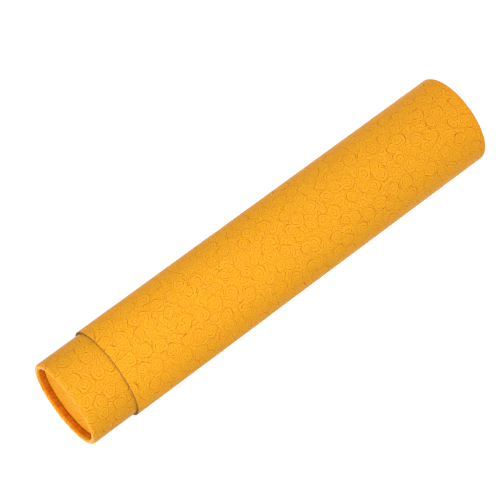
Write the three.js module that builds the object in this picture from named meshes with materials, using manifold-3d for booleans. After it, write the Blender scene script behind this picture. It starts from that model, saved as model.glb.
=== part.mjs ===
// Telescopic poster tube: two paperboard tubes, the narrow one sliding inside the wide one.
// Each tube is closed at one end by a disc locked under its own rolled-in rim, and covered with
// embossed facing paper that follows the wall over the rim and down to the disc.
// Millimetres, +Z up. The wide tube stands on its closed end, centred on the origin, and the
// narrow one, closed end up, slides out of the wide one's mouth along +Z.
import * as THREE from "three";
import { mergeVertices } from "three/addons/utils/BufferGeometryUtils.js";
import Module from "manifold-3d";

const wasm = await Module();
wasm.setup();

// Lengths along the axis
const WIDE_LENGTH = 302; // wide tube, crest of its rolled rim to its cut mouth
const GRIP_LENGTH = 35; // stretch of the narrow tube left out to pull on when closed
const STOP_GAP = 0.3; // closed: air between the narrow tube's mouth and the wide tube's disc

// Section of the walls
const WIDE_DIAMETER = 66; // over the facing paper, between its laps
const BOARD = 1.1; // wound grey board
const FACING = 0.2; // facing paper
const SLIDE_CLEARANCE = 0.15; // radial play between the narrow tube's lap and the wide bore

// Rolled rim
const ROLL_GAP = 1.2; // air between the wall and the rolled-in lip
const ROLL_CROWN = 2.2; // height in which the roll rounds off
const CREST_FLAT = 1; // flat ring that the rolling die leaves on the crest
const RECESS_DEPTH = 5.6; // crest of the rim down to the end disc

// End disc
const DISC_THICKNESS = 1.5; // die-cut from faced board
const DISC_CLEARANCE = 0.15; // glue gap round the disc's cut edge

// Lap seam of the facing paper
const LAP_WIDTH = 8; // paper lies double over this width
const LAP_RISE = 1.5; // width in which the upper paper climbs onto the lower
const WIDE_LAP_ANGLE = THREE.MathUtils.degToRad(90); // the laps are at the back, about +Y
const NARROW_LAP_ANGLE = THREE.MathUtils.degToRad(90);

// Facets
const SIDES = 64; // round a tube
const SKIN_STEPS = 4; // in each quarter of the roll's outside
const FOLD_STEPS = 2; // in each quarter of the roll's inside
const LAP_STEPS = 4; // along each arc of the lap's section

// Sizes that follow
const WALL = FACING + BOARD;
const WIDE_RADIUS = WIDE_DIAMETER / 2;
const NARROW_RADIUS = WIDE_RADIUS - WALL - SLIDE_CLEARANCE - FACING;
const FLOOR_HEIGHT = RECESS_DEPTH + DISC_THICKNESS; // crest of a rim to its disc's inner face
const CLOSED_HEIGHT = WIDE_LENGTH + GRIP_LENGTH;
const NARROW_LENGTH = CLOSED_HEIGHT - FLOOR_HEIGHT - STOP_GAP;
const RIM_WIDTH = 2 * WALL + ROLL_GAP; // across the roll
const ROLL_REACH = (RIM_WIDTH - CREST_FLAT) / 2; // across one side of the roll, beside the flat

const facingPaper = new THREE.MeshStandardMaterial({ color: 0xf2a52e, roughness: 0.45, metalness: 0 });
const greyBoard = new THREE.MeshStandardMaterial({ color: 0x8f7f68, roughness: 0.9, metalness: 0 });

// A stretch of an ellipse in the section plane, where x is the radius and y the height.
function ellipseStretch(centre, across, down, fromAngle, toAngle, steps) {
  const points = [];
  for (let step = 0; step <= steps; step++) {
    const angle = THREE.MathUtils.lerp(fromAngle, toAngle, step / steps);
    points.push(new THREE.Vector2(centre.x + across * Math.cos(angle), centre.y + down * Math.sin(angle)));
  }
  return points;
}

// Outside of the section, a depth below the tube's skin: from the disc down the recess, round the
// rolled rim, whose crest is at height 0, and up the wall to the mouth.
function skinLine(tubeRadius, length, depth) {
  const across = ROLL_REACH - depth;
  const down = ROLL_CROWN - depth;
  const wallCentre = new THREE.Vector2(tubeRadius - ROLL_REACH, ROLL_CROWN);
  const lipCentre = new THREE.Vector2(wallCentre.x - CREST_FLAT, ROLL_CROWN);
  return [
    new THREE.Vector2(lipCentre.x - across, RECESS_DEPTH),
    ...ellipseStretch(lipCentre, across, down, -Math.PI, -Math.PI / 2, SKIN_STEPS),
    ...ellipseStretch(wallCentre, across, down, -Math.PI / 2, 0, SKIN_STEPS),
    new THREE.Vector2(tubeRadius - depth, length),
  ];
}

// Inside of the section: the bore from the mouth to the fold, round it, and up the lip's back.
function boreLine(tubeRadius, length) {
  const bore = tubeRadius - WALL;
  const fold = ROLL_GAP / 2;
  const foldCentre = new THREE.Vector2(bore - fold, WALL + fold);
  return [
    new THREE.Vector2(bore, length),
    ...ellipseStretch(foldCentre, fold, fold, 0, -Math.PI, 2 * FOLD_STEPS),
    new THREE.Vector2(bore - ROLL_GAP, RECESS_DEPTH),
  ];
}

// Turns a section about +Z. The section closes on itself or starts and ends on the axis.
function revolve(section) {
  return new THREE.LatheGeometry(section, SIDES).rotateX(Math.PI / 2);
}

// The layer of a tube between two lines of its section, the second one running back.
function tubeLayer(outside, inside) {
  return revolve([...outside, ...inside, outside[0]]);
}

// The doubled strip of facing paper: it climbs over the lower edge of the sheet, runs LAP_WIDTH
// further round and ends in a cut edge. The rolling die irons it flat over the rim.
function lapStrip(tubeRadius, length, angle) {
  const climb = angle - LAP_RISE / tubeRadius;
  const cutEdge = angle + LAP_WIDTH / tubeRadius;
  const root = tubeRadius - FACING / 2;
  const strip = new THREE.Shape();
  strip.absarc(0, 0, root, climb, cutEdge, false);
  strip.absarc(0, 0, tubeRadius + FACING, cutEdge, angle, true);
  strip.closePath();
  const options = { depth: length - ROLL_CROWN, bevelEnabled: false, curveSegments: LAP_STEPS };
  return new THREE.ExtrudeGeometry(strip, options).translate(0, 0, ROLL_CROWN);
}

function solidFrom(geometry) {
  const bare = geometry.index ? geometry.toNonIndexed() : geometry.clone();
  bare.deleteAttribute("normal");
  bare.deleteAttribute("uv");
  const merged = mergeVertices(bare, 1e-4);
  const vertProperties = new Float32Array(merged.attributes.position.array);
  const triVerts = new Uint32Array(merged.index.array);
  return new wasm.Manifold(new wasm.Mesh({ numProp: 3, vertProperties, triVerts }));
}

function geometryFrom(solid) {
  const mesh = solid.getMesh();
  const geometry = new THREE.BufferGeometry();
  geometry.setAttribute("position", new THREE.BufferAttribute(mesh.vertProperties, 3));
  geometry.setIndex(new THREE.BufferAttribute(mesh.triVerts, 1));
  geometry.computeVertexNormals();
  return geometry;
}

function namedMesh(name, geometry, material) {
  const mesh = new THREE.Mesh(geometry, material);
  mesh.name = name;
  return mesh;
}

function boardTube(name, tubeRadius, length) {
  const outside = skinLine(tubeRadius, length, FACING);
  const layer = tubeLayer(outside, boreLine(tubeRadius, length));
  return namedMesh(name, layer, greyBoard);
}

function facingSheet(name, tubeRadius, length, lapAngle) {
  const skin = skinLine(tubeRadius, length, 0);
  const glueLine = skinLine(tubeRadius, length, FACING).reverse();
  const sheet = solidFrom(tubeLayer(skin, glueLine));
  const lap = solidFrom(lapStrip(tubeRadius, length, lapAngle));
  return namedMesh(name, geometryFrom(sheet.add(lap)), facingPaper);
}

// The disc bears on the cut end of the rolled-in lip, inside the wall.
function endDisc(name, tubeRadius) {
  const discRadius = tubeRadius - WALL - DISC_CLEARANCE;
  const section = [
    new THREE.Vector2(0, RECESS_DEPTH),
    new THREE.Vector2(discRadius, RECESS_DEPTH),
    new THREE.Vector2(discRadius, FLOOR_HEIGHT),
    new THREE.Vector2(0, FLOOR_HEIGHT),
  ];
  return namedMesh(name, revolve(section), facingPaper);
}

// A closed tube in its own frame: crest of the rim at the origin, mouth up.
function closedTube(prefix, tubeRadius, length, lapAngle) {
  const tube = new THREE.Group();
  tube.add(boardTube(`${prefix}_tube_board`, tubeRadius, length));
  tube.add(facingSheet(`${prefix}_tube_facing`, tubeRadius, length, lapAngle));
  tube.add(endDisc(`${prefix}_end_disc`, tubeRadius));
  return tube;
}

const wideTube = closedTube("outer", WIDE_RADIUS, WIDE_LENGTH, WIDE_LAP_ANGLE);

// Turned over about X, the narrow tube's own angles run the other way round.
const narrowTube = closedTube("inner", NARROW_RADIUS, NARROW_LENGTH, -NARROW_LAP_ANGLE);
narrowTube.rotation.x = Math.PI;
narrowTube.position.z = CLOSED_HEIGHT;

const posterTube = new THREE.Group();
posterTube.add(wideTube, narrowTube);

export default posterTube;
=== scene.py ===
import math

import bpy
import numpy as np
from mathutils import Matrix, Vector


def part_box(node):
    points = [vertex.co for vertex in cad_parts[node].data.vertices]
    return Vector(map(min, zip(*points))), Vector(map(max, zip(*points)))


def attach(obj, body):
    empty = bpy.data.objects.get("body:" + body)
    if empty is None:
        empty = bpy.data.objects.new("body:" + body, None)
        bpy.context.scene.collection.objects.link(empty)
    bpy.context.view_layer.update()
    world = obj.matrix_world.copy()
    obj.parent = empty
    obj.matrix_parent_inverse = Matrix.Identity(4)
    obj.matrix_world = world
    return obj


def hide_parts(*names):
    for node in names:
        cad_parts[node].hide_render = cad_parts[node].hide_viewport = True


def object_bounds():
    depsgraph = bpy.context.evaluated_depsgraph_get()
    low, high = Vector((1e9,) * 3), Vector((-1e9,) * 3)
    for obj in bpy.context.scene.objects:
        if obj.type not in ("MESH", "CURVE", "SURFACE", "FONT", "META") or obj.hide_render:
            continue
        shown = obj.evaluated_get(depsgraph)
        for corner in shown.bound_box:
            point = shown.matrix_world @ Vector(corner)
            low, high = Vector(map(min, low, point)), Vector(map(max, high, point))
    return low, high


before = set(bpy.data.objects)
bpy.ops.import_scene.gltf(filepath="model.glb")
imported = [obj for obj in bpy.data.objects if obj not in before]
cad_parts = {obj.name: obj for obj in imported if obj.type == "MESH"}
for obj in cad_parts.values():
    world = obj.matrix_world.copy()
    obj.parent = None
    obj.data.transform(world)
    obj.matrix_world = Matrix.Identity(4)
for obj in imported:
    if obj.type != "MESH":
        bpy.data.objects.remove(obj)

CAD_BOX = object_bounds()

bl_info = {
    "name": "Telescopic Poster Tube",
    "version": (1, 0, 0),
    "blender": (4, 5, 0),
    "location": "3D View > Sidebar > Poster Tube",
    "description": "Adds the boards, facing papers and end discs of a telescopic poster tube",
    "category": "Add Mesh",
}

# Outer faces of the pieces, from the frame
OUTER_PAPER_LOW, OUTER_PAPER_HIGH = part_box("outer_tube_facing")
INNER_PAPER_LOW, INNER_PAPER_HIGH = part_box("inner_tube_facing")
OUTER_DISC_LOW, OUTER_DISC_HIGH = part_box("outer_end_disc")
INNER_DISC_LOW, INNER_DISC_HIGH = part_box("inner_end_disc")
OUTER_BOARD_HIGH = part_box("outer_tube_board")[1]
TUBE_LOW, TUBE_HIGH = CAD_BOX

# Points round a tube, and facets in a quarter of the rolled rim's outside and of its fold
SIDES = 240
SKIN_STEPS = 10
FOLD_STEPS = 6

# Each tube in its own terms: its crest's height, and whether its mouth is above or below that
WIDE_TUBE = {
    "name": "outer",
    "body": "outer_tube",
    "radius": OUTER_PAPER_HIGH.x,
    "crest": OUTER_PAPER_LOW.z,
    "up": 1,
    "length": OUTER_PAPER_HIGH.z - OUTER_PAPER_LOW.z,
    "recess": OUTER_DISC_LOW.z - OUTER_PAPER_LOW.z,
    "disc_radius": OUTER_DISC_HIGH.x,
    "sheet_offset": (0.013, 0.021),
}
NARROW_TUBE = {
    "name": "inner",
    "body": "inner_tube",
    "radius": INNER_PAPER_HIGH.x,
    "crest": INNER_PAPER_HIGH.z,
    "up": -1,
    "length": INNER_PAPER_HIGH.z - INNER_PAPER_LOW.z,
    "recess": INNER_PAPER_HIGH.z - INNER_DISC_HIGH.z,
    "disc_radius": INNER_DISC_HIGH.x,
    "sheet_offset": (0.431, 0.377),
}
TUBES = (WIDE_TUBE, NARROW_TUBE)
SHEET_MAP = "Sheet"
RECESS_SHADE_MASK = "Recess Shade Mask"  # mask of the painted shade in the recess: 1 where the paper ends in the recess, falling to 0 near the rim's crest
DISC_SHEET_SHIFT = 0.2  # from the sheet that covers a tube to the one that faces its disc
PLEATS_PER_METRE = (900.0, 160.0, 0.0)  # round the recess and down it

MERGE_DISTANCE = 1e-6  # between points that are one
SAME_HEIGHT = 1e-5  # between heights that are one
LAP_DROP = 0.00004  # width in which the lap's cut edge drops to the paper below
CREASE_ANGLE = math.radians(35)  # between faces from which an edge stays sharp

# Winding of the board
STRIP_OF_BOARD = 0.078  # width of a strip
SEAM_WIDTH = 0.0006
PLY_THICKNESS = 0.00037
GLUE_LINE = 0.00012
GLUE_COLOUR = (0.1, 0.075, 0.05, 1.0)

# Stage
FLOOR_SIZE = 14
FLOOR_GLOW = 0.72  # brings the lit floor to white
STRIP_HEIGHT = 0.7
STRIP_WIDTH = 0.25
TOP_LIGHT_SIZE = 0.3
TOP_LIGHT_RISE = 0.8  # above the closed end
TOP_LIGHT_FORWARD = 0.2  # towards the camera's side


class PosterTubeSizes(bpy.types.PropertyGroup):
    """Sizes inside the two tubes' outer faces."""

    facing: bpy.props.FloatProperty(
        name="Facing",
        description="Thickness of the facing paper",
        default=OUTER_PAPER_HIGH.x - OUTER_BOARD_HIGH.x,
        unit="LENGTH",
    )
    board: bpy.props.FloatProperty(
        name="Board",
        description="Thickness of the wound board",
        default=0.0011,
        unit="LENGTH",
    )
    roll_gap: bpy.props.FloatProperty(
        name="Roll Gap",
        description="Air between the wall and the rolled-in lip",
        default=0.0012,
        unit="LENGTH",
    )
    roll_crown: bpy.props.FloatProperty(
        name="Roll Crown",
        description="Height in which the rolled rim rounds off",
        default=0.0022,
        unit="LENGTH",
    )
    crest_flat: bpy.props.FloatProperty(
        name="Crest Flat",
        description="Width of the flat ring on the crest of the rim",
        default=0.001,
        unit="LENGTH",
    )
    bare_lip: bpy.props.FloatProperty(
        name="Bare Lip",
        description="Height of board left bare where the facing stops short of the disc",
        default=0.00015,
        unit="LENGTH",
    )
    mouth_edge: bpy.props.FloatProperty(
        name="Mouth Edge",
        description="Rounding of the facing's edge at the cut mouth",
        default=0.00012,
        unit="LENGTH",
    )
    disc_edge: bpy.props.FloatProperty(
        name="Disc Edge",
        description="Rounding that die-cutting leaves on the end disc's edges",
        default=0.00025,
        unit="LENGTH",
    )
    lap_width: bpy.props.FloatProperty(
        name="Lap Width",
        description="Width over which the facing paper lies double",
        default=0.008,
        unit="LENGTH",
    )
    lap_rise: bpy.props.FloatProperty(
        name="Lap Rise",
        description="Width in which the upper paper climbs onto the lower",
        default=0.0012,
        unit="LENGTH",
    )
    lap_fade: bpy.props.FloatProperty(
        name="Lap Fade",
        description="Length above the rolled rim in which the die irons the lap flat",
        default=0.003,
        unit="LENGTH",
    )


class PosterTubeFinish(bpy.types.PropertyGroup):
    """Colours of the paper, of the painted shade in its recesses and of the board, and sizes of the
    pressed pattern.
    """

    paper: bpy.props.FloatVectorProperty(
        name="Paper",
        description="Facing paper between its pressed lines",
        default=(0.97, 0.45, 0.021, 1.0),
        size=4,
        subtype="COLOR",
        min=0.0,
        max=1.0,
    )
    pressed_line: bpy.props.FloatVectorProperty(
        name="Pressed Line",
        description="Facing paper in the bottom of a pressed line",
        default=(0.55, 0.035, 0.0, 1.0),
        size=4,
        subtype="COLOR",
        min=0.0,
        max=1.0,
    )
    # Painted shade: a darker, deeper orange mixed into the paper down in a recess
    recess_shade_colour: bpy.props.FloatVectorProperty(
        name="Recess Shade Colour",
        description="Painted shade colour of the facing paper down in a recess",
        default=(0.62, 0.145, 0.004, 1.0),
        size=4,
        subtype="COLOR",
        min=0.0,
        max=1.0,
    )
    grey_board: bpy.props.FloatVectorProperty(
        name="Grey Board",
        description="Raw board of the walls and the discs",
        default=(0.27, 0.15, 0.07, 1.0),
        size=4,
        subtype="COLOR",
        min=0.0,
        max=1.0,
    )
    bloom_pitch: bpy.props.FloatProperty(
        name="Bloom Pitch",
        description="Mean distance between the blooms of the pattern",
        default=0.0112,
        unit="LENGTH",
    )
    ring_pitch: bpy.props.FloatProperty(
        name="Ring Pitch",
        description="Distance between the rings of petals in a bloom",
        default=0.002,
        unit="LENGTH",
    )
    line_width: bpy.props.FloatProperty(
        name="Line Width",
        description="Width of a pressed line",
        default=0.00024,
        unit="LENGTH",
    )
    press_depth: bpy.props.FloatProperty(
        name="Press Depth",
        description="Depth of a pressed line",
        default=0.00003,
        unit="LENGTH",
    )


class PosterTubeStage(bpy.types.PropertyGroup):
    """Camera and lights round the tube."""

    distance: bpy.props.FloatProperty(
        name="Camera Distance",
        description="From the middle of the tube to the camera",
        default=1.601,
        unit="LENGTH",
    )
    elevation: bpy.props.FloatProperty(
        name="Elevation",
        description="Of the camera, above the middle of the tube",
        default=math.radians(18.21),
        subtype="ANGLE",
    )
    pan: bpy.props.FloatVectorProperty(
        name="Pan",
        description="Point the camera looks at, to the right of the tube's middle and above it",
        default=(0.0098, 0.00511),
        size=2,
        unit="LENGTH",
    )
    roll: bpy.props.FloatProperty(
        name="Roll",
        description="Of the camera about its line of sight",
        default=math.radians(-126.35),
        subtype="ANGLE",
    )
    lens: bpy.props.FloatProperty(
        name="Lens",
        description="Focal length of the camera",
        default=173.9,
        unit="CAMERA",
    )
    strip_angle: bpy.props.FloatProperty(
        name="Strip Angle",
        description="From the front round to each strip light beside the camera",
        default=math.radians(33),
        subtype="ANGLE",
    )
    strip_distance: bpy.props.FloatProperty(
        name="Strip Distance",
        description="From the tube to each strip light",
        default=0.6,
        unit="LENGTH",
    )
    strip_power: bpy.props.FloatProperty(
        name="Strip Power",
        description="Of each strip light in front",
        default=1.2,
        unit="POWER",
    )
    back_power: bpy.props.FloatProperty(
        name="Back Power",
        description="Of the strip light behind the tube",
        default=0.9,
        unit="POWER",
    )
    top_power: bpy.props.FloatProperty(
        name="Top Power",
        description="Of the light above the closed end",
        default=3.9,
        unit="POWER",
    )
    sky: bpy.props.FloatProperty(
        name="Sky",
        description="Strength of the even light from all round",
        default=0.42,
        min=0.0,
    )


def open_for_editing(piece, domain):
    """Selects only this piece and opens it in edit mode with nothing on it selected."""
    if bpy.context.object and bpy.context.object.mode != "OBJECT":
        bpy.ops.object.mode_set(mode="OBJECT")
    bpy.ops.object.select_all(action="DESELECT")
    piece.select_set(True)
    bpy.context.view_layer.objects.active = piece
    bpy.ops.object.mode_set(mode="EDIT")
    bpy.ops.mesh.select_mode(type=domain)
    bpy.ops.mesh.select_all(action="DESELECT")


def select_where(piece, domain, wanted):
    """Opens a piece with its wanted faces or points selected. There has to be at least one."""
    open_for_editing(piece, domain)
    bpy.ops.object.mode_set(mode="OBJECT")
    parts = piece.data.polygons if domain == "FACE" else piece.data.vertices
    found = [part for part in parts if wanted(part)]
    if not found:
        raise RuntimeError(f"{piece.name} has nothing to select in {wanted.__name__}")
    for part in found:
        part.select = True
    bpy.ops.object.mode_set(mode="EDIT")


def close_piece(piece):
    """Merges doubled points, turns the faces outwards, and puts the piece's place in its mesh."""
    open_for_editing(piece, "VERT")
    bpy.ops.mesh.select_all(action="SELECT")
    bpy.ops.mesh.remove_doubles(threshold=MERGE_DISTANCE)
    bpy.ops.mesh.normals_make_consistent(inside=False)
    bpy.ops.mesh.select_all(action="DESELECT")
    bpy.ops.mesh.select_non_manifold()
    if piece.data.total_vert_sel:
        raise RuntimeError(f"{piece.name} isn't closed")
    bpy.ops.object.mode_set(mode="OBJECT")
    bpy.ops.object.transform_apply(location=True, rotation=True, scale=True)


def ring(name, radius, height, fill="NOTHING"):
    """Adds a ring of points about the tubes' axis."""
    bpy.ops.object.select_all(action="DESELECT")
    bpy.ops.mesh.primitive_circle_add(
        vertices=SIDES, radius=radius, fill_type=fill, location=(0, 0, height), calc_uvs=False
    )
    piece = bpy.context.object
    piece.name = name
    piece.data.name = name
    return piece


def revolve(name, section):
    """Carries a ring once round a section, extruding and scaling it from point to point."""
    radius, height = section[0]
    piece = ring(name, radius, height)
    open_for_editing(piece, "EDGE")
    bpy.ops.mesh.select_all(action="SELECT")
    for next_radius, next_height in section[1:] + section[:1]:
        rise = (0, 0, next_height - height)
        bpy.ops.mesh.extrude_region_move(TRANSFORM_OT_translate={"value": rise})
        grow = next_radius / radius
        bpy.ops.transform.resize(value=(grow, grow, 1), center_override=(0, 0, 0))
        radius, height = next_radius, next_height
    close_piece(piece)
    return piece


def ellipse_stretch(centre, across, down, from_angle, to_angle, steps):
    """A stretch of an ellipse in the section plane, as pairs of radius and height."""
    angles = np.linspace(from_angle, to_angle, steps + 1)
    return [(centre[0] + across * math.cos(a), centre[1] + down * math.sin(a)) for a in angles]


def skin_line(tube, sizes, depth, recess):
    """The section's outside, a depth below the skin: from the recess round the rim to the mouth."""
    rim_width = 2 * (sizes.facing + sizes.board) + sizes.roll_gap
    reach = (rim_width - sizes.crest_flat) / 2
    across = reach - depth
    down = sizes.roll_crown - depth
    wall_centre = (tube["radius"] - reach, sizes.roll_crown)
    lip_centre = (wall_centre[0] - sizes.crest_flat, sizes.roll_crown)
    quarter = math.pi / 2
    return [
        (lip_centre[0] - across, recess),
        *ellipse_stretch(lip_centre, across, down, -2 * quarter, -quarter, SKIN_STEPS),
        *ellipse_stretch(wall_centre, across, down, -quarter, 0, SKIN_STEPS),
        (tube["radius"] - depth, sizes.roll_crown + sizes.lap_fade),
        (tube["radius"] - depth, tube["length"]),
    ]


def bore_line(tube, sizes):
    """The section's inside: down the bore, round the fold and up the back of the lip."""
    bore = tube["radius"] - sizes.facing - sizes.board
    fold = sizes.roll_gap / 2
    centre = (bore - fold, tube["radius"] - bore + fold)
    return [
        (bore, tube["length"]),
        *ellipse_stretch(centre, fold, fold, 0, -math.pi, 2 * FOLD_STEPS),
        (bore - sizes.roll_gap, tube["recess"]),
    ]


def in_frame(tube, section):
    """A section with its heights from the tube's crest put into the frame."""
    return [(radius, tube["crest"] + tube["up"] * height) for radius, height in section]


def height_on(tube, place):
    """Height of a place above the tube's own crest, towards its mouth."""
    return (place.z - tube["crest"]) * tube["up"]


def lap_angles(tube, sizes):
    """Where the upper paper starts to climb, lies on the lower one, and is cut, about +Y."""
    middle = math.pi / 2
    turn = tube["up"] / tube["radius"]
    return middle - sizes.lap_rise * turn, middle, middle + sizes.lap_width * turn


def raise_lap(piece, tube, sizes):
    """Cuts the lap's edges into the wall along the back and lifts the paper between them."""
    climb, flat, cut = lap_angles(tube, sizes)
    drop = tube["up"] * LAP_DROP / tube["radius"]

    def back_wall(face):
        outside = face.normal.y > 0.5 and abs(face.normal.z) < 0.3
        past_rim = height_on(tube, face.center) > sizes.roll_crown
        return outside and past_rim and abs(face.center.x) < 2.5 * sizes.lap_width

    for angle in (climb, flat, cut, cut + drop):
        select_where(piece, "FACE", back_wall)
        sideways = (-math.sin(angle), math.cos(angle), 0)
        bpy.ops.mesh.bisect(plane_co=(0, 0, 0), plane_no=sideways)

    low, high = sorted((flat, cut))
    slack = abs(drop) / 2
    skin = tube["radius"] - 0.75 * sizes.mouth_edge
    ironed = sizes.roll_crown + 0.9 * sizes.lap_fade

    def doubled(point):
        around = math.atan2(point.co.y, point.co.x)
        on_skin = math.hypot(point.co.x, point.co.y) > skin
        on_lap = low - slack < around < high + slack
        return on_lap and on_skin and height_on(tube, point.co) > ironed

    select_where(piece, "VERT", doubled)
    grow = 1 + sizes.facing / tube["radius"]
    bpy.ops.transform.resize(value=(grow, grow, 1), center_override=(0, 0, 0))
    bpy.ops.object.mode_set(mode="OBJECT")


def map_sheet(piece, tube, sizes, line):
    """Lays the paper's flat sheet on a tube, round it from the lap's cut edge and along a line."""
    mesh = piece.data
    line = np.array(line)
    steps = np.hypot(*np.diff(line, axis=0).T)
    along = np.concatenate(([0], np.cumsum(steps)))
    cut = lap_angles(tube, sizes)[2]

    def turn_from_cut(place):
        return tube["up"] * (math.atan2(place.y, place.x) - cut)

    lengthwise = []
    # Mask for the painted shade in the recess, from the length along the paper
    recess_shade_mask = mesh.attributes.new(RECESS_SHADE_MASK, "FLOAT", "POINT")
    for point in mesh.vertices:
        place = (math.hypot(point.co.x, point.co.y), height_on(tube, point.co))
        length = along[np.hypot(*(line - place).T).argmin()]
        lengthwise.append(length)
        recess_shade_mask.data[point.index].value = min(max(1 - length / tube["recess"], 0), 1)

    layer = mesh.uv_layers.new(name=SHEET_MAP)
    for face in mesh.polygons:
        middle = turn_from_cut(face.center) % math.tau
        for corner, point in zip(face.loop_indices, face.vertices):
            turn = turn_from_cut(mesh.vertices[point].co)
            turn += math.tau * round((middle - turn) / math.tau)
            layer.data[corner].uv = (
                turn * tube["radius"] + tube["sheet_offset"][0],
                lengthwise[point] + tube["sheet_offset"][1],
            )


def map_disc(piece, tube):
    """Lays the disc's own sheet of paper flat on it."""
    layer = piece.data.uv_layers.new(name=SHEET_MAP)
    right, up = (offset + DISC_SHEET_SHIFT for offset in tube["sheet_offset"])
    for corner in piece.data.loops:
        place = piece.data.vertices[corner.vertex_index].co
        layer.data[corner.index].uv = (place.x + right, tube["up"] * place.y + up)


def paint(piece, whole, part=None, on_part=None):
    """Gives a piece one material, and another on the faces that on_part is true of."""
    piece.data.materials.append(whole)
    if part is None:
        return
    piece.data.materials.append(part)
    for face in piece.data.polygons:
        if on_part(face):
            face.material_index = 1


def smooth(piece):
    """Shades a piece smooth but for its sharp edges."""
    bpy.ops.object.select_all(action="DESELECT")
    piece.select_set(True)
    bpy.context.view_layer.objects.active = piece
    bpy.ops.object.shade_smooth_by_angle(angle=CREASE_ANGLE)


def place_piece(piece, tube, node):
    """Lets a piece ride with its tube in place of its plain node."""
    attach(piece, tube["body"])
    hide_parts(node)


def put(tree, kind, **settings):
    """Adds a node to a tree."""
    node = tree.nodes.new(kind)
    for name, value in settings.items():
        setattr(node, name, value)
    return node


def feed(tree, socket, term):
    """Joins a term to a socket, or sets the socket to it where it is a plain value."""
    if isinstance(term, bpy.types.NodeSocket):
        tree.links.new(term, socket)
    else:
        socket.default_value = term


def calc(tree, operation, *terms):
    """A sum or other operation on numbers."""
    node = put(tree, "ShaderNodeMath", operation=operation)
    for socket, term in zip(node.inputs, terms):
        feed(tree, socket, term)
    return node.outputs[0]


def vector_calc(tree, operation, *terms):
    """An operation on vectors."""
    node = put(tree, "ShaderNodeVectorMath", operation=operation)
    sockets = [node.inputs[0], node.inputs["Scale"]] if operation == "SCALE" else node.inputs
    for socket, term in zip(sockets, terms):
        feed(tree, socket, term)
    return node.outputs["Value" if operation in {"LENGTH", "DOT_PRODUCT"} else "Vector"]


def fade(tree, value, start, end, low=0.0, high=1.0):
    """A value turned smoothly from low at start to high at end."""
    node = put(tree, "ShaderNodeMapRange", interpolation_type="SMOOTHSTEP")
    for name, term in (
        ("Value", value),
        ("From Min", start),
        ("From Max", end),
        ("To Min", low),
        ("To Max", high),
    ):
        feed(tree, node.inputs[name], term)
    return node.outputs["Result"]


def mix_colour(tree, amount, low, high):
    """Two colours mixed by an amount."""
    node = put(tree, "ShaderNodeMix", data_type="RGBA")
    factor, first, second = node.inputs[0], node.inputs[6], node.inputs[7]
    for socket, term in ((factor, amount), (first, low), (second, high)):
        feed(tree, socket, term)
    return node.outputs[2]


def stroke(tree, distance, width):
    """1 in the middle of a line, 0 beside it, from the distance to its middle."""
    full = calc(tree, "MULTIPLY", width, 0.25)
    gone = calc(tree, "MULTIPLY", width, 0.75)
    return fade(tree, distance, full, gone, 1.0, 0.0)


def contour(tree, phase, spacing):
    """Distance to the nearest whole number of a phase, in units of its spacing."""
    nearest = calc(tree, "ABSOLUTE", calc(tree, "SUBTRACT", calc(tree, "FRACT", phase), 0.5))
    return calc(tree, "MULTIPLY", calc(tree, "SUBTRACT", 0.5, nearest), spacing)


def new_group(name, inputs, outputs):
    """Starts a node group with named sockets and returns its tree, input node and output node."""
    tree = bpy.data.node_groups.new(name, "ShaderNodeTree")
    for socket_name, kind in inputs:
        tree.interface.new_socket(name=socket_name, in_out="INPUT", socket_type=kind)
    for socket_name, kind in outputs:
        tree.interface.new_socket(name=socket_name, in_out="OUTPUT", socket_type=kind)
    return tree, put(tree, "NodeGroupInput").outputs, put(tree, "NodeGroupOutput").inputs


def place_group(tree, group, **values):
    """Puts a node group in a tree. Spaces in its sockets' names are written as underscores."""
    node = put(tree, "ShaderNodeGroup", node_tree=group)
    for name, term in values.items():
        feed(tree, node.inputs[name.replace("_", " ")], term)
    return node.outputs


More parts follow.
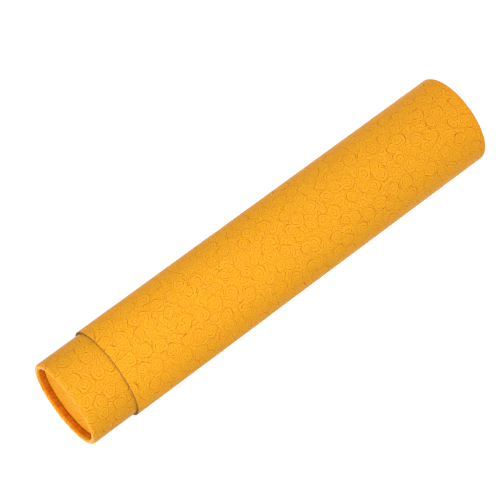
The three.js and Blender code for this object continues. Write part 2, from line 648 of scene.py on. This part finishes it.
def rose_scroll_group():
    """Line pattern pressed into the paper: blooms of scalloped petal rings among curls and leaves."""
    tree, given, result = new_group(
        "Rose Scroll",
        [
            ("Sheet", "NodeSocketVector"),
            ("Bloom Pitch", "NodeSocketFloat"),
            ("Ring Pitch", "NodeSocketFloat"),
            ("Line Width", "NodeSocketFloat"),
        ],
        [("Lines", "NodeSocketFloat"), ("Hairlines", "NodeSocketFloat")],
    )

    sheet, bloom_pitch = given["Sheet"], given["Bloom Pitch"]
    ring_pitch, line_width = given["Ring Pitch"], given["Line Width"]

    # Hand-drawn unevenness
    sway = put(tree, "ShaderNodeTexNoise", noise_dimensions="2D")
    feed(tree, sway.inputs["Vector"], sheet)
    feed(tree, sway.inputs["Scale"], calc(tree, "DIVIDE", 2.2, bloom_pitch))
    sway.inputs["Detail"].default_value = 0.0
    offset = vector_calc(tree, "SUBTRACT", sway.outputs["Color"], (0.5, 0.5, 0.5))
    reach = calc(tree, "MULTIPLY", bloom_pitch, 0.2)
    place = vector_calc(tree, "ADD", sheet, vector_calc(tree, "SCALE", offset, reach))

    def scattered(pitch, randomness):
        """Distance, angle and random numbers of the nearest of many scattered centres."""
        cells = put(tree, "ShaderNodeTexVoronoi", voronoi_dimensions="2D", feature="F1")
        feed(tree, cells.inputs["Vector"], place)
        feed(tree, cells.inputs["Scale"], calc(tree, "DIVIDE", 1.0, pitch))
        cells.inputs["Randomness"].default_value = randomness
        spoke = put(tree, "ShaderNodeSeparateXYZ")
        feed(tree, spoke.inputs[0], vector_calc(tree, "SUBTRACT", place, cells.outputs["Position"]))
        draws = put(tree, "ShaderNodeSeparateColor")
        feed(tree, draws.inputs[0], cells.outputs["Color"])
        flat = put(tree, "ShaderNodeCombineXYZ")
        feed(tree, flat.inputs[0], spoke.outputs[0])
        feed(tree, flat.inputs[1], spoke.outputs[1])
        distance = vector_calc(tree, "LENGTH", flat.outputs[0])
        angle = calc(tree, "ARCTAN2", spoke.outputs[1], spoke.outputs[0])
        return distance, angle, draws.outputs

    def petals(distance, angle, draws, lobes, twist):
        """Phase of the petal rings about a centre, scalloped into lobes that turn outwards."""
        start = calc(tree, "MULTIPLY", draws[0], math.tau)
        rings = calc(tree, "DIVIDE", distance, ring_pitch)
        turned = calc(tree, "MULTIPLY_ADD", rings, twist, start)
        half = calc(tree, "MULTIPLY", calc(tree, "ADD", angle, turned), lobes / 2)
        scallop = calc(tree, "ABSOLUTE", calc(tree, "SINE", half))
        spiral = calc(tree, "ADD", rings, calc(tree, "DIVIDE", angle, math.tau))
        return calc(tree, "MULTIPLY_ADD", scallop, -0.2, spiral)

    def rings_drawn(phase, width):
        """Strokes where a phase passes whole numbers."""
        return stroke(tree, contour(tree, phase, ring_pitch), width)

    # Blooms, each with its own radius
    distance, angle, draws = scattered(bloom_pitch, 0.75)
    bloom_phase = petals(distance, angle, draws, 5, 0.6)
    bloom_radius = calc(tree, "MULTIPLY", bloom_pitch, calc(tree, "MULTIPLY_ADD", draws[1], 0.14, 0.36))
    past_bloom = calc(tree, "MULTIPLY", bloom_radius, 1.04)
    inside = fade(tree, distance, bloom_radius, past_bloom, 1.0, 0.0)
    outline = calc(tree, "ABSOLUTE", calc(tree, "SUBTRACT", distance, bloom_radius))
    rim = calc(tree, "MULTIPLY", stroke(tree, outline, line_width), 0.7)

    # Curls and leaves between the blooms
    curls = scattered(calc(tree, "MULTIPLY", bloom_pitch, 0.46), 0.9)
    curl_phase = petals(*curls, 3, 0.3)
    outside = calc(tree, "SUBTRACT", 1.0, inside)

    # Full strokes, and fainter ones half way between them
    hair_width = calc(tree, "MULTIPLY", line_width, 0.7)
    strokes = []
    hairs = []
    for phase, where in ((bloom_phase, inside), (curl_phase, outside)):
        strokes.append(calc(tree, "MULTIPLY", rings_drawn(phase, line_width), where))
        hair = rings_drawn(calc(tree, "ADD", phase, 0.5), hair_width)
        hairs.append(calc(tree, "MULTIPLY", hair, where))
    feed(tree, result["Lines"], calc(tree, "MAXIMUM", calc(tree, "MAXIMUM", *strokes), rim))
    feed(tree, result["Hairlines"], calc(tree, "MAXIMUM", *hairs))
    return tree


def fibre_group():
    """Fibres and cloudy unevenness of pressed pulp, alike in paper and board."""
    tree, given, result = new_group(
        "Pulp Fibre",
        [
            ("Place", "NodeSocketVector"),
            ("Fibre Size", "NodeSocketFloat"),
            ("Cloud Size", "NodeSocketFloat"),
        ],
        [("Fibres", "NodeSocketFloat"), ("Clouds", "NodeSocketFloat")],
    )
    lay = put(tree, "ShaderNodeMapping")
    feed(tree, lay.inputs["Vector"], given["Place"])
    lay.inputs["Rotation"].default_value = (0.0, 0.0, 0.6)
    lay.inputs["Scale"].default_value = (1.0, 0.3, 0.3)
    fibres = put(tree, "ShaderNodeTexNoise")
    feed(tree, fibres.inputs["Vector"], lay.outputs["Vector"])
    feed(tree, fibres.inputs["Scale"], calc(tree, "DIVIDE", 1.0, given["Fibre Size"]))
    fibres.inputs["Detail"].default_value = 3.0
    clouds = put(tree, "ShaderNodeTexNoise")
    feed(tree, clouds.inputs["Vector"], given["Place"])
    feed(tree, clouds.inputs["Scale"], calc(tree, "DIVIDE", 1.0, given["Cloud Size"]))
    clouds.inputs["Detail"].default_value = 2.0
    feed(tree, result["Fibres"], fibres.outputs["Fac"])
    feed(tree, result["Clouds"], clouds.outputs["Fac"])
    return tree


def new_material(name):
    """A material with its tree and its Principled shader."""
    material = bpy.data.materials.new(name)
    material.use_nodes = True
    return material, material.node_tree, material.node_tree.nodes["Principled BSDF"]


def facing_paper(name, finish, scroll, pulp, roughness, ior):
    """Orange facing paper with the line pattern pressed into it, and painted shade and shadow down in
    the recess.
    """
    material, tree, shader = new_material(name)
    sheet = put(tree, "ShaderNodeUVMap", uv_map=SHEET_MAP).outputs["UV"]
    pattern = place_group(
        tree,
        scroll,
        Sheet=sheet,
        Bloom_Pitch=finish.bloom_pitch,
        Ring_Pitch=finish.ring_pitch,
        Line_Width=finish.line_width,
    )
    grain = place_group(tree, pulp, Place=sheet, Fibre_Size=0.0005, Cloud_Size=0.012)

    # Lines pressed unevenly deep
    pressure = fade(tree, grain["Clouds"], 0.25, 0.65, 0.7, 1.0)
    lines = calc(tree, "MULTIPLY", pattern["Lines"], pressure)
    ink = calc(tree, "MAXIMUM", lines, calc(tree, "MULTIPLY", pattern["Hairlines"], 0.3))

    # Painted shade in the recess, deepest down at the disc, made uneven by noise stretched round the
    # recess like pleats
    recess_shade_mask = put(tree, "ShaderNodeAttribute", attribute_name=RECESS_SHADE_MASK).outputs["Fac"]
    pleats = put(tree, "ShaderNodeTexNoise", noise_dimensions="2D")
    feed(tree, pleats.inputs["Vector"], vector_calc(tree, "MULTIPLY", sheet, PLEATS_PER_METRE))
    pleats.inputs["Scale"].default_value = 1.0
    pleated_shade = fade(tree, pleats.outputs["Fac"], 0.3, 0.75, 0.6, 1.15)
    deep = calc(tree, "MULTIPLY", fade(tree, recess_shade_mask, 0.0, 0.6), pleated_shade)
    # Painted shadow in the crevice where the recess wall meets the disc, darkening the fifth of the
    # recess nearest the disc
    crevice_shadow = fade(tree, recess_shade_mask, 0.8, 1.0, 1.0, 0.55)

    paper = mix_colour(tree, deep, tuple(finish.paper), tuple(finish.recess_shade_colour))
    tone = mix_colour(tree, ink, paper, tuple(finish.pressed_line))
    # Cloudy tone of the paper, times the painted crevice shadow
    shade = calc(tree, "MULTIPLY", calc(tree, "MULTIPLY_ADD", grain["Clouds"], 0.1, 0.95), crevice_shadow)
    feed(tree, shader.inputs["Base Color"], vector_calc(tree, "SCALE", tone, shade))
    uneven = calc(tree, "MULTIPLY_ADD", grain["Fibres"], 0.12, roughness - 0.06)
    feed(tree, shader.inputs["Roughness"], calc(tree, "MULTIPLY_ADD", lines, 0.08, uneven))
    shader.inputs["IOR"].default_value = ior
    height = calc(tree, "MULTIPLY_ADD", grain["Fibres"], 0.12, calc(tree, "SUBTRACT", 1.0, ink))
    bump = put(tree, "ShaderNodeBump")
    bump.inputs["Strength"].default_value = 1.0
    bump.inputs["Distance"].default_value = finish.press_depth
    feed(tree, bump.inputs["Height"], height)
    feed(tree, shader.inputs["Normal"], bump.outputs["Normal"])
    return material


def wound_board(name, finish, pulp):
    """Grey board, wound from strips on a slant, with its plies showing on a cut end."""
    material, tree, shader = new_material(name)
    place = put(tree, "ShaderNodeTexCoord").outputs["Object"]
    grain = place_group(tree, pulp, Place=place, Fibre_Size=0.0009, Cloud_Size=0.02)
    parts = put(tree, "ShaderNodeSeparateXYZ")
    feed(tree, parts.inputs[0], place)

    # Seams of the strips, one strip's width apart along the tube and once round it
    around = calc(tree, "ARCTAN2", parts.outputs[1], parts.outputs[0])
    turn = calc(tree, "DIVIDE", around, math.tau)
    strips = calc(tree, "ADD", calc(tree, "DIVIDE", parts.outputs[2], STRIP_OF_BOARD), turn)
    seam = stroke(tree, contour(tree, strips, STRIP_OF_BOARD), SEAM_WIDTH)

    # Plies, one inside another
    radius = vector_calc(tree, "LENGTH", vector_calc(tree, "MULTIPLY", place, (1.0, 1.0, 0.0)))
    plies = calc(tree, "DIVIDE", radius, PLY_THICKNESS)
    ply = stroke(tree, contour(tree, plies, PLY_THICKNESS), GLUE_LINE)

    dark = calc(tree, "MAXIMUM", calc(tree, "MULTIPLY", seam, 0.5), calc(tree, "MULTIPLY", ply, 0.25))
    shade = calc(
        tree,
        "MULTIPLY",
        fade(tree, grain["Fibres"], 0.25, 0.75, 0.86, 1.12),
        fade(tree, grain["Clouds"], 0.2, 0.8, 0.92, 1.08),
    )
    tone = vector_calc(tree, "SCALE", tuple(finish.grey_board)[:3], shade)
    feed(tree, shader.inputs["Base Color"], mix_colour(tree, dark, tone, GLUE_COLOUR))
    feed(tree, shader.inputs["Roughness"], calc(tree, "MULTIPLY_ADD", grain["Fibres"], 0.15, 0.8))
    shader.inputs["Specular IOR Level"].default_value = 0.25
    bump = put(tree, "ShaderNodeBump")
    bump.inputs["Distance"].default_value = 0.00008
    feed(tree, bump.inputs["Height"], calc(tree, "SUBTRACT", grain["Fibres"], dark))
    feed(tree, shader.inputs["Normal"], bump.outputs["Normal"])
    return material


def finishes():
    """The tube's materials, made the first time that a piece needs one."""
    made = bpy.data.materials
    if "Pressed Facing Paper" not in made:
        finish = bpy.context.scene.poster_tube_finish
        scroll = rose_scroll_group()
        pulp = fibre_group()
        facing_paper("Pressed Facing Paper", finish, scroll, pulp, roughness=0.36, ior=1.1)
        facing_paper("Pressed Disc Paper", finish, scroll, pulp, roughness=0.5, ior=1.05)
        wound_board("Wound Grey Board", finish, pulp)
    return made["Pressed Facing Paper"], made["Pressed Disc Paper"], made["Wound Grey Board"]


class MESH_OT_poster_tube_boards(bpy.types.Operator):
    """Adds the wide and the narrow board tube, each with one end rolled inwards"""

    bl_idname = "mesh.poster_tube_boards"
    bl_label = "Wound Boards"

    def execute(self, context):
        sizes = context.scene.poster_tube_sizes
        board = finishes()[2]
        for tube in TUBES:
            section = skin_line(tube, sizes, sizes.facing, tube["recess"]) + bore_line(tube, sizes)
            piece = revolve(tube["name"] + "_wound_board", in_frame(tube, section))
            paint(piece, board)
            smooth(piece)
            place_piece(piece, tube, tube["name"] + "_tube_board")
        return {"FINISHED"}


class MESH_OT_poster_tube_papers(bpy.types.Operator):
    """Adds the facing papers, from the discs over the rolled rims to the mouths"""

    bl_idname = "mesh.poster_tube_papers"
    bl_label = "Facing Papers"

    def execute(self, context):
        sizes = context.scene.poster_tube_sizes
        paper, _, board = finishes()
        for tube in TUBES:
            end = tube["recess"] - sizes.bare_lip
            skin = skin_line(tube, sizes, 0, end)
            mouth_radius, mouth = skin.pop()
            skin.append((mouth_radius, mouth - sizes.mouth_edge))
            skin.append((mouth_radius - sizes.mouth_edge / 2, mouth))
            glue = skin_line(tube, sizes, sizes.facing, end)[::-1]
            piece = revolve(tube["name"] + "_facing_paper", in_frame(tube, skin + glue))
            raise_lap(piece, tube, sizes)
            map_sheet(piece, tube, sizes, skin)

            def cut_edge(face):
                height = height_on(tube, face.center)
                at_end = min(abs(height - end), abs(height - mouth)) < SAME_HEIGHT
                return abs(face.normal.z) > 0.9 and at_end

            paint(piece, paper, board, cut_edge)
            smooth(piece)
            place_piece(piece, tube, tube["name"] + "_tube_facing")
        return {"FINISHED"}


class MESH_OT_poster_tube_discs(bpy.types.Operator):
    """Adds the end discs that close the tubes under their rolled rims"""

    bl_idname = "mesh.poster_tube_discs"
    bl_label = "End Discs"

    def execute(self, context):
        sizes = context.scene.poster_tube_sizes
        _, paper, board = finishes()
        for tube, low, high in (
            (WIDE_TUBE, OUTER_DISC_LOW, OUTER_DISC_HIGH),
            (NARROW_TUBE, INNER_DISC_LOW, INNER_DISC_HIGH),
        ):
            outward = -tube["up"]

            def flat_face(face):
                return abs(face.normal.z) > 0.9

            def outer_face(face):
                return face.normal.z * outward > 0.2

            piece = ring(tube["name"] + "_disc", tube["disc_radius"], low.z, fill="NGON")
            open_for_editing(piece, "FACE")
            bpy.ops.mesh.select_all(action="SELECT")
            rise = (0, 0, high.z - low.z)
            bpy.ops.mesh.extrude_region_move(TRANSFORM_OT_translate={"value": rise})
            close_piece(piece)
            select_where(piece, "FACE", flat_face)
            bpy.ops.mesh.bevel(offset=sizes.disc_edge, segments=3, affect="EDGES")
            bpy.ops.object.mode_set(mode="OBJECT")
            map_disc(piece, tube)
            paint(piece, board, paper, outer_face)
            smooth(piece)
            place_piece(piece, tube, tube["name"] + "_end_disc")
        return {"FINISHED"}


def white_for_camera(tree):
    """1 for rays that see the stage straight or by reflection, 0 for the light that it casts."""
    rays = put(tree, "ShaderNodeLightPath").outputs
    seen = calc(tree, "MAXIMUM", rays["Is Camera Ray"], rays["Is Glossy Ray"])
    return calc(tree, "MAXIMUM", seen, rays["Is Transmission Ray"])


def add_floor():
    """A pale floor that looks white and keeps the tube's shadow."""
    bpy.ops.object.select_all(action="DESELECT")
    bpy.ops.mesh.primitive_plane_add(size=FLOOR_SIZE, location=(0, 2, TUBE_LOW.z))
    floor = bpy.context.object
    floor.name = "studio_floor"
    material = bpy.data.materials.new("Pale Studio Floor")
    material.use_nodes = True
    tree = material.node_tree
    tree.nodes.clear()
    matt = put(tree, "ShaderNodeBsdfDiffuse")
    matt.inputs["Color"].default_value = (0.8, 0.8, 0.8, 1)
    glow = put(tree, "ShaderNodeEmission")
    feed(tree, glow.inputs["Strength"], calc(tree, "MULTIPLY", white_for_camera(tree), FLOOR_GLOW))
    both = put(tree, "ShaderNodeAddShader")
    feed(tree, both.inputs[0], matt.outputs[0])
    feed(tree, both.inputs[1], glow.outputs[0])
    feed(tree, put(tree, "ShaderNodeOutputMaterial").inputs["Surface"], both.outputs[0])
    floor.data.materials.append(material)


def add_sky(stage):
    """Even light from all round, white where the camera sees it."""
    world = bpy.data.worlds.new("Studio Sky")
    bpy.context.scene.world = world
    world.use_nodes = True
    tree = world.node_tree
    ambient = tree.nodes["Background"]
    ambient.inputs["Color"].default_value = (1, 1, 1, 1)
    strength = fade(tree, white_for_camera(tree), 0.0, 1.0, stage.sky, 1.0)
    feed(tree, ambient.inputs["Strength"], strength)


def add_strip(stage, name, angle, power):
    """A tall strip light on the floor, an angle round from the front, turned towards the tube."""
    place = (
        stage.strip_distance * math.sin(angle),
        -stage.strip_distance * math.cos(angle),
        STRIP_HEIGHT / 2,
    )
    bpy.ops.object.light_add(type="AREA", location=place, rotation=(math.pi / 2, 0, angle))
    strip = bpy.context.object
    strip.name = name
    strip.data.shape = "RECTANGLE"
    strip.data.size = STRIP_WIDTH
    strip.data.size_y = STRIP_HEIGHT
    strip.data.energy = power


def add_top_light(stage):
    """A soft light above the narrow tube's closed end."""
    place = (0, -TOP_LIGHT_FORWARD, TUBE_HIGH.z + TOP_LIGHT_RISE)
    tilt = math.atan2(TOP_LIGHT_FORWARD, TOP_LIGHT_RISE)
    bpy.ops.object.light_add(type="AREA", location=place, rotation=(tilt, 0, 0))
    light = bpy.context.object
    light.name = "top_light"
    light.data.shape = "DISK"
    light.data.size = TOP_LIGHT_SIZE
    light.data.energy = stage.top_power


def add_camera(stage):
    """The camera of the photo, turned about its line of sight so that the tube lies aslant."""
    middle = (TUBE_LOW + TUBE_HIGH) / 2
    middle.x = middle.y = 0
    right = Vector((1, 0, 0))
    up = Vector((0, math.sin(stage.elevation), math.cos(stage.elevation)))
    back = right.cross(up)
    place = middle + stage.distance * back
    aim = middle + stage.pan[0] * right + stage.pan[1] * up
    back = (place - aim).normalized()
    right = up.cross(back).normalized()
    up = back.cross(right)
    across = right * math.cos(stage.roll) + up * math.sin(stage.roll)
    upwards = back.cross(across)
    turn = Matrix((across, upwards, back)).transposed().to_euler()
    bpy.ops.object.camera_add(location=place, rotation=turn)
    camera = bpy.context.object
    camera.name = "photo_camera"
    camera.data.lens = stage.lens
    camera.data.sensor_width = 36
    camera.data.clip_end = 50
    bpy.context.scene.camera = camera


class SCENE_OT_poster_tube_stage(bpy.types.Operator):
    """Adds the floor, sky, lights and camera"""

    bl_idname = "scene.poster_tube_stage"
    bl_label = "Stage"

    def execute(self, context):
        stage = context.scene.poster_tube_stage
        add_floor()
        add_sky(stage)
        add_strip(stage, "strip_light_right", stage.strip_angle, stage.strip_power)
        add_strip(stage, "strip_light_left", -stage.strip_angle, stage.strip_power)
        add_strip(stage, "strip_light_back", math.pi, stage.back_power)
        add_top_light(stage)
        add_camera(stage)
        context.scene.view_settings.view_transform = "Standard"
        return {"FINISHED"}


class VIEW3D_PT_poster_tube(bpy.types.Panel):
    """Lists the tube's pieces, sizes and colours"""

    bl_idname = "VIEW3D_PT_poster_tube"
    bl_label = "Poster Tube"
    bl_space_type = "VIEW_3D"
    bl_region_type = "UI"
    bl_category = "Poster Tube"

    def draw(self, context):
        for operator in STEPS:
            self.layout.operator(operator.bl_idname)
        scene = context.scene
        for group in (scene.poster_tube_sizes, scene.poster_tube_finish, scene.poster_tube_stage):
            box = self.layout.box()
            for name in group.__annotations__:
                box.prop(group, name)


STEPS = (
    MESH_OT_poster_tube_boards,
    MESH_OT_poster_tube_papers,
    MESH_OT_poster_tube_discs,
    SCENE_OT_poster_tube_stage,
)
GROUPS = {
    "poster_tube_sizes": PosterTubeSizes,
    "poster_tube_finish": PosterTubeFinish,
    "poster_tube_stage": PosterTubeStage,
}


def register():
    for name, group in GROUPS.items():
        bpy.utils.register_class(group)
        setattr(bpy.types.Scene, name, bpy.props.PointerProperty(type=group))
    for item in (*STEPS, VIEW3D_PT_poster_tube):
        bpy.utils.register_class(item)


def unregister():
    for item in (VIEW3D_PT_poster_tube, *reversed(STEPS)):
        bpy.utils.unregister_class(item)
    for name, group in reversed(GROUPS.items()):
        delattr(bpy.types.Scene, name)
        bpy.utils.unregister_class(group)


def main():
    register()
    bpy.ops.mesh.poster_tube_boards()
    bpy.ops.mesh.poster_tube_papers()
    bpy.ops.mesh.poster_tube_discs()
    bpy.ops.scene.poster_tube_stage()


if __name__ == "__main__":
    main()
